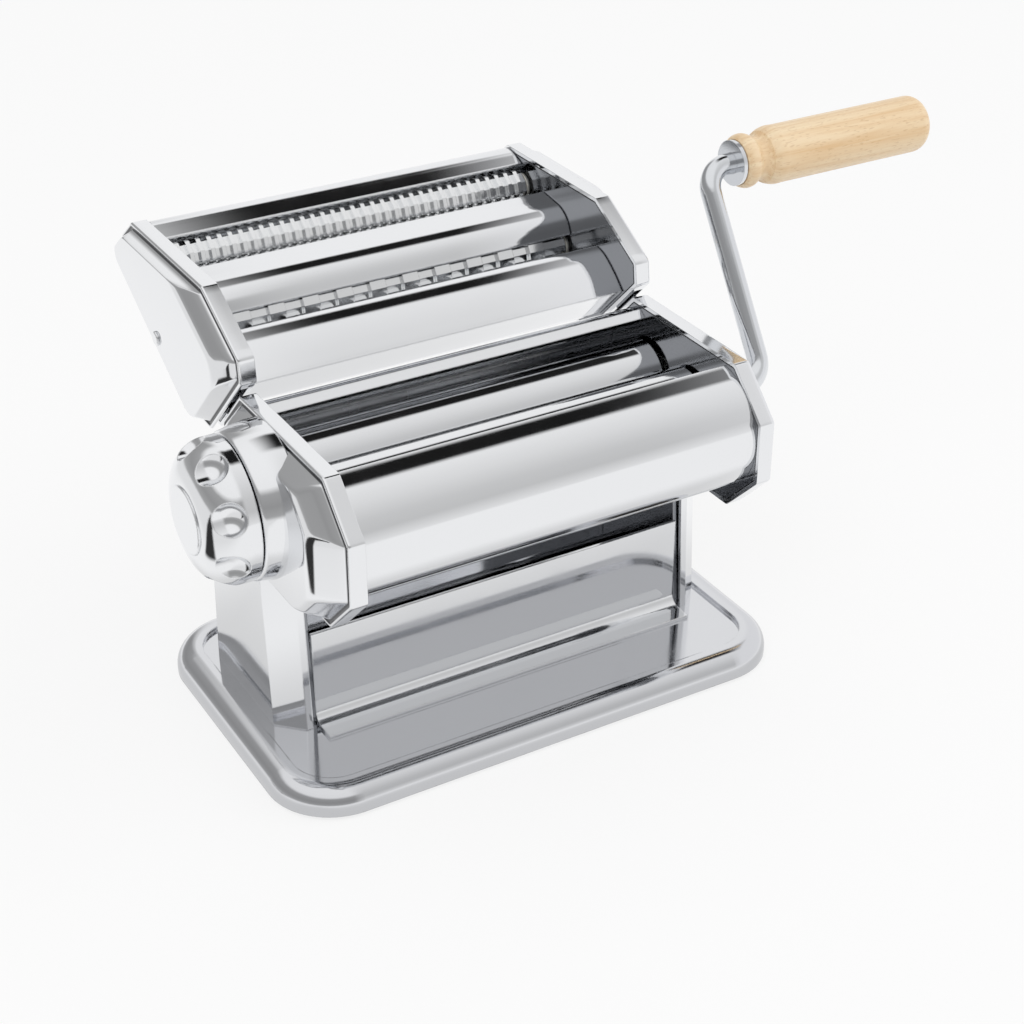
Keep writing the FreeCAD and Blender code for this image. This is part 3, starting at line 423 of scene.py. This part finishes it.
def pressed_cover(name, replaced, body, side, outline, insets, rise, holes, gap_row, gap_x, in_gap):
    """A pressed cover: a plain band, a rounded lip, a groove, then bevels that rise to a flat face and round
    over into it, with an inner face one sheet below. The holes go through the flat face. in_gap picks the
    ring points where the band is cut away between rows gap_row and gap_row + 1. side is 1 at the crank's end
    and -1 at the knob's."""
    top_x = LIP_X + rise
    outer, inner, shade_amounts = cover_levels(outline, np.array(insets, float), top_x, gap_x)
    skins = [[at_x(side * x, rounded(corners, r)) for x, corners, r in levels] for levels in (outer, inner)]
    points = [np.vstack(skin) for skin in skins]
    cols = len(skins[0][0])
    col = np.arange(cols)
    n_out, n_in = len(outer), len(inner)
    base_in = n_out * cols
    in_way = in_gap(skins[0][0][:, 1], skins[0][0][:, 2])
    gone = in_way & np.roll(in_way, -1)
    whole = np.ones(cols, bool)

    # Both faces, the rim between them, and the walls round the gap
    faces = []
    for base, count in ((0, n_out), (base_in, n_in)):
        for row in range(count - 1):
            keep = ~gone if row == gap_row else whole
            faces.append(band_faces(base + row * cols, base + (row + 1) * cols, cols)[keep])
    faces.append(band_faces(0, base_in, cols)[~gone if gap_row == 0 else whole])
    for row in range(max(gap_row, 1), gap_row + 2):
        faces.append(band_faces(row * cols, base_in + row * cols, cols)[gone])
    gap_ends = np.concatenate([col[gone & ~np.roll(gone, 1)], (col[gone & ~np.roll(gone, -1)] + 1) % cols])
    low, high = gap_row * cols + gap_ends, (gap_row + 1) * cols + gap_ends
    faces.append(np.stack([low, high, base_in + high, base_in + low], 1))
    faces = np.vstack(faces).tolist()

    # The flat face outside and inside, and the walls of its holes
    total = (n_out + n_in) * cols
    hole_rings = [circle(centre, r) for centre, r in holes]
    starts = []
    for skin, x, last in ((skins[0], side * top_x, base_in - cols),
                          (skins[1], side * (top_x - COVER_WALL), total - cols)):
        lookup = np.concatenate([last + col, total + np.arange(HOLE_POINTS * len(holes))])
        faces += lookup[flat_faces(skin[-1][:, 1:], hole_rings)].tolist()
        points += [at_x(x, ring) for ring in hole_rings]
        starts.append(total)
        total += HOLE_POINTS * len(holes)
    for k in range(0, HOLE_POINTS * len(holes), HOLE_POINTS):
        faces += band_faces(starts[0] + k, starts[1] + k, HOLE_POINTS).tolist()

    made = piece(name, np.vstack(points), faces, cover_chrome, body, replaced, COVER_SHARP_DEG)
    # The painted groove shade, one value for each point of the outer face; the inner face gets none
    values = np.zeros(len(made.data.vertices), np.float32)
    values[:n_out * cols] = np.repeat(np.array(shade_amounts, np.float32), cols)
    made.data.attributes.new("groove_shade", "FLOAT", "POINT").data.foreach_set("value", values)
    return made


def at_leg(y, z):
    """Where an upright passes through the band of a housing cover."""
    leg_front, leg_top = -12.4, 87.1
    return (y > leg_front) & (z < leg_top)


def at_rail(y, z):
    """Where a rail passes through the band of a cutter cover: its lower front slope and its lower end."""
    on_slope = (y + z < 143.6) & (z < 122.6)
    at_lower_end = (z < 96.9) & (y < 55.0)
    return on_slope | at_lower_end


KNOB_END, CRANK_END = -1, 1
KNOB_AT, CRANK_AT = (-5.0, 96.0), (-18.1, 96.0)
WIDE_AT, FINE_AT = (54.776, 116.693), (96.746, 136.712)
KNOB_HOLE_R, CRANK_HOLE_R, DRIVE_HOLE_R = 12.0, 6.2, 4.6
# Corners as y and z, from the front round over the top, and how far each side's bevel goes in
housing = {
    "outline": [(-59, 83), (-59, 105), (-43, 121), (19, 121), (35, 105), (35, 83), (19, 67), (-43, 67)],
    "insets": [15, 12, 7, 7.5, 8, 5.5, 3, 9],
    "rise": 7.0, "gap_row": 0, "gap_x": (75.3, 77.6), "in_gap": at_leg,
}
cutter_unit = {
    "outline": [(17, 126), (18, 134.5), (45, 149.5), (108, 149.5), (119, 141), (118, 134), (56, 96.5),
                (47, 96)],
    "insets": [12, 9.5, 3, 4.5, 5, 3.5, 4, 5],
    "rise": 5.0, "gap_row": 1, "gap_x": (75.0, 78.15), "in_gap": at_rail,
}
pressed_cover("left_cover_pressing", "left_cover", "frame", KNOB_END, holes=[(KNOB_AT, KNOB_HOLE_R)],
              **housing)
pressed_cover("right_cover_pressing", "right_cover", "frame", CRANK_END, holes=[(CRANK_AT, CRANK_HOLE_R)],
              **housing)
pressed_cover("cutter_left_pressing", "cutter_left_cover", "cutter_unit", KNOB_END, holes=[], **cutter_unit)
pressed_cover("cutter_right_pressing", "cutter_right_cover", "cutter_unit", CRANK_END,
              holes=[(WIDE_AT, DRIVE_HOLE_R), (FINE_AT, DRIVE_HOLE_R)], **cutter_unit)


def knob_boss():
    """The knob's boss on the left cover: a profile turned round the knob's axis, a cone with a rounded edge
    that is hollow below, with a bearing hole through its end and a ring of six blind setting holes,
    60 degrees apart and 4 mm deep."""
    around = 64
    end_x, hollow_x, setting_floor_x = 93.2, 87.2, 89.2
    bearing_r, setting_r, setting_ring_r, setting_count = 8.0, 1.7, 18.5, 6
    profile = [(hollow_x, 21.6), (79.4, 21.6), (79.4, 26.3), (83.0, 26.3), (88.0, 25.56), (92.0, 24.82),
               (92.7, 24.5), (93.1, 24.0), (end_x, 23.4)]
    a = np.radians(90 + 60 * np.arange(setting_count))
    setting_at = np.array(KNOB_AT) + setting_ring_r * np.stack([np.cos(a), np.sin(a)], 1)
    holes = [circle(KNOB_AT, bearing_r)] + [circle(q, setting_r) for q in setting_at]
    floors = [hollow_x] + [setting_floor_x] * setting_count
    rings = [at_x(-x, circle(KNOB_AT, r, around)) for x, r in profile]
    points = rings + [at_x(-end_x, hole) for hole in holes]
    points += [at_x(-x, hole) for x, hole in zip(floors, holes)]
    top = len(profile) * around
    deep = top + HOLE_POINTS * len(holes)
    faces = grid_faces(len(profile), around).tolist()
    end_face = np.concatenate([top - around + np.arange(around), np.arange(top, deep)])
    faces += end_face[flat_faces(rings[-1][:, 1:], holes)].tolist()
    for k in range(0, HOLE_POINTS * len(holes), HOLE_POINTS):
        faces += band_faces(top + k, deep + k, HOLE_POINTS).tolist()
        if k:
            faces.append(list(range(deep + k, deep + k + HOLE_POINTS)))
    hollow_face = np.concatenate([np.arange(around), deep + np.arange(HOLE_POINTS)])
    faces += hollow_face[flat_faces(rings[0][:, 1:], holes[:1])].tolist()
    piece("knob_boss", np.vstack(points), faces, chrome_plate, "frame", "left_cover")


knob_boss()


# Floor, light and camera

BASE_MIDDLE = (-0.0475, -0.025)
BASE_HALF = (0.098, 0.061)
CARD_DARK = 0.96
FLOOR_REACH = 6.0
PALE_END = (0.93, 0.93, 0.94, 1)
LAMP_AIM = (0, 0, 0.07)


def floor_mirrored(tree):
    """What the chrome sees of the floor, as a product of three shades. Near the base it is 0.76, a painted
    shadow of the machine, rising to 1 at 60 mm by the larger of the distances past its sides and past its
    ends. On a dark card to the left it is 0.04, with soft edges. Far to the left it falls to 0.86."""
    split = add(tree, "SeparateXYZ", links={0: add(tree, "TexCoord").outputs["Object"]})
    x, y = split.outputs["X"], split.outputs["Y"]
    past = []
    for place, middle, half in zip((x, y), BASE_MIDDLE, BASE_HALF):
        offset = add(tree, "Math", {"operation": "SUBTRACT", 1: middle}, {0: place})
        distance = add(tree, "Math", {"operation": "ABSOLUTE"}, {0: offset.outputs[0]})
        past.append(add(tree, "Math", {"operation": "SUBTRACT", 1: half}, {0: distance.outputs[0]}))
    outside = add(tree, "Math", {"operation": "MAXIMUM"}, {0: past[0].outputs[0], 1: past[1].outputs[0]})
    fades = []
    # The first fade is painted shadow on the floor round the base, seen only in the chrome
    for source, start, end, first, last in ((outside.outputs[0], 0.0, 0.06, 0.76, 1.0),
                                            (x, -0.20, -0.36, 1.0, 0.86),
                                            (y, -0.040, -0.022, 0.0, 1.0),
                                            (y, 0.040, 0.058, 1.0, 0.0),
                                            (x, -0.246, -0.226, 1.0, 0.0)):
        fade = add(tree, "MapRange", {"interpolation_type": "SMOOTHSTEP", "From Min": start, "From Max": end,
                                      "To Min": first, "To Max": last}, {"Value": source})
        fades.append(fade.outputs["Result"])
    near, far, card_front, card_back, card_side = fades
    across = add(tree, "Math", {"operation": "MULTIPLY"}, {0: card_front, 1: card_back})
    card = add(tree, "Math", {"operation": "MULTIPLY"}, {0: across.outputs[0], 1: card_side})
    taken = add(tree, "Math", {"operation": "MULTIPLY", 1: CARD_DARK}, {0: card.outputs[0]})
    left = add(tree, "Math", {"operation": "SUBTRACT", 0: 1.0}, {1: taken.outputs[0]})
    lit = add(tree, "Math", {"operation": "MULTIPLY"}, {0: near, 1: left.outputs[0]})
    return add(tree, "Math", {"operation": "MULTIPLY"}, {0: lit.outputs[0], 1: far}).outputs[0]


def pale_floor(scene):
    """A pale matt floor. The camera sees 78% plain white and 22% lit floor, so the object's shadow stays.
    The chrome sees floor_mirrored() alone."""
    camera_share = 0.78
    made, tree = new_material("pale_floor")
    path = add(tree, "LightPath")
    mirrored = add(tree, "Math", {"operation": "MAXIMUM"},
                   {0: path.outputs["Is Glossy Ray"], 1: path.outputs["Is Transmission Ray"]})
    seen = add(tree, "Math", {"operation": "MULTIPLY", 1: camera_share}, {0: path.outputs["Is Camera Ray"]})
    share = add(tree, "Math", {"operation": "MAXIMUM"}, {0: seen.outputs[0], 1: mirrored.outputs[0]})
    matt = add(tree, "BsdfDiffuse", {"Color": linear("#F4F4F4")})
    level = add(tree, "Math", {"operation": "MAXIMUM"},
                {0: floor_mirrored(tree), 1: path.outputs["Is Camera Ray"]})
    glow = add(tree, "Emission", {"Color": linear("#FFFFFF")}, {"Strength": level.outputs[0]})
    mixed = add(tree, "MixShader", links={0: share.outputs[0], 1: matt.outputs[0], 2: glow.outputs[0]})
    add(tree, "OutputMaterial", links={"Surface": mixed.outputs[0]})
    mesh = bpy.data.meshes.new("floor")
    corners = [(x * FLOOR_REACH, y * FLOOR_REACH, 0) for x, y in ((-1, -1), (1, -1), (1, 1), (-1, 1))]
    mesh.from_pydata(corners, [], [(0, 1, 2, 3)])
    floor = bpy.data.objects.new("floor", mesh)
    mesh.materials.append(made)
    scene.collection.objects.link(floor)


# Greys of the room by the angle from the front over the top to the back, in half turns, with one dark strip
# overhead
ROOM_GREYS = [(0.0, 0.86), (0.10, 0.62), (0.20, 0.66), (0.36, 0.82), (0.52, 0.93), (0.555, 0.012),
              (0.685, 0.012), (0.71, 1.0), (1.0, 1.0)]
# Left of the object, by height: grey up to about 40 degrees and white above that
LEFT_GREYS = [(0.0, 0.80), (0.06, 0.42), (0.30, 0.34), (0.58, 0.40), (0.70, 0.96), (1.0, 1.0)]


def studio_room(scene):
    """The room that the chrome mirrors. Over the object it follows ROOM_GREYS, to either end it turns pale,
    and to the left it turns to LEFT_GREYS. The camera itself sees white."""
    world = bpy.data.worlds.new("studio")
    scene.world = world
    world.use_nodes = True
    tree = world.node_tree
    tree.nodes.clear()
    split = add(tree, "SeparateXYZ", links={0: add(tree, "TexCoord").outputs["Generated"]})
    ahead = add(tree, "Math", {"operation": "MULTIPLY", 1: -1.0}, {0: split.outputs["Y"]})
    angle = add(tree, "Math", {"operation": "ARCTAN2"}, {0: split.outputs["Z"], 1: ahead.outputs[0]})
    turn = add(tree, "Math", {"operation": "MULTIPLY", 1: 1 / math.pi}, {0: angle.outputs[0]})
    greys = []
    for source, stops in ((turn.outputs[0], ROOM_GREYS), (split.outputs["Z"], LEFT_GREYS)):
        ramp = add(tree, "ValToRGB", links={"Fac": source})
        elements = ramp.color_ramp.elements
        elements[0].position, elements[1].position = 0.0, 1.0
        for place, level in stops[1:-1]:
            elements.new(place)
        for element, (place, level) in zip(elements, stops):
            element.position = place
            element.color = (level, level, level, 1)
        greys.append(ramp.outputs["Color"])
    overhead, to_the_left = greys
    side = add(tree, "Math", {"operation": "ABSOLUTE"}, {0: split.outputs["X"]})
    at_end = add(tree, "MapRange", {"From Min": 0.50, "From Max": 0.66, "To Min": 0.0, "To Max": 1.0},
                 {"Value": side.outputs[0]})
    pale_ends = add(tree, "Mix", {"data_type": "RGBA", 7: PALE_END},
                    {0: at_end.outputs["Result"], 6: overhead})
    at_left = add(tree, "MapRange", {"interpolation_type": "SMOOTHSTEP", "From Min": 0.30, "From Max": 0.05,
                                     "To Min": 0.0, "To Max": 1.0}, {"Value": split.outputs["X"]})
    room = add(tree, "Mix", {"data_type": "RGBA"},
               {0: at_left.outputs["Result"], 6: pale_ends.outputs[2], 7: to_the_left})
    path = add(tree, "LightPath")
    white = add(tree, "Mix", {"data_type": "RGBA", 7: linear("#FFFFFF")},
                {0: path.outputs["Is Camera Ray"], 6: room.outputs[2]})
    ground = add(tree, "Background", {"Strength": 1.0}, {"Color": white.outputs[2]})
    add(tree, "OutputWorld", links={"Surface": ground.outputs[0]})


def aimed(scene, name, data, place, aim):
    """An object for a lamp or camera at place, turned to look at aim."""
    holder = bpy.data.objects.new(name, data)
    holder.location = place
    holder.rotation_euler = (Vector(aim) - Vector(place)).to_track_quat("-Z", "Y").to_euler()
    scene.collection.objects.link(holder)
    return holder


def lamp(scene, name, place, size, watts):
    """A soft square lamp aimed at the middle of the machine, which the chrome doesn't mirror."""
    light = bpy.data.lights.new(name, "AREA")
    light.shape = "RECTANGLE"
    light.size = light.size_y = size
    light.energy = watts
    aimed(scene, name, light, place, LAMP_AIM).visible_glossy = False


# The camera was found from the photograph: 30 degrees to the left, 31 degrees above and 0.70 m away
CAMERA_AT = np.array([-294.7, -525.3, 421.0])
CAMERA_AIM = np.array([10.08, -3.5, 62.58])
SENSOR_MM, LENS_MM = 36.0, 70.83


def studio():
    """The floor, the room, two soft lamps and the camera."""
    scene = bpy.context.scene
    scene.view_settings.view_transform = "Standard"
    pale_floor(scene)
    studio_room(scene)
    lamp(scene, "key", (-0.9, -0.8, 1.3), 0.9, 6)
    lamp(scene, "fill", (1.2, -0.5, 0.9), 0.8, 3)
    camera = bpy.data.cameras.new("camera")
    camera.sensor_width = SENSOR_MM
    camera.sensor_fit = "HORIZONTAL"
    camera.lens = LENS_MM
    scene.camera = aimed(scene, "camera", camera, (CAMERA_AT - MIDDLE) * MM, (CAMERA_AIM - MIDDLE) * MM)


studio()
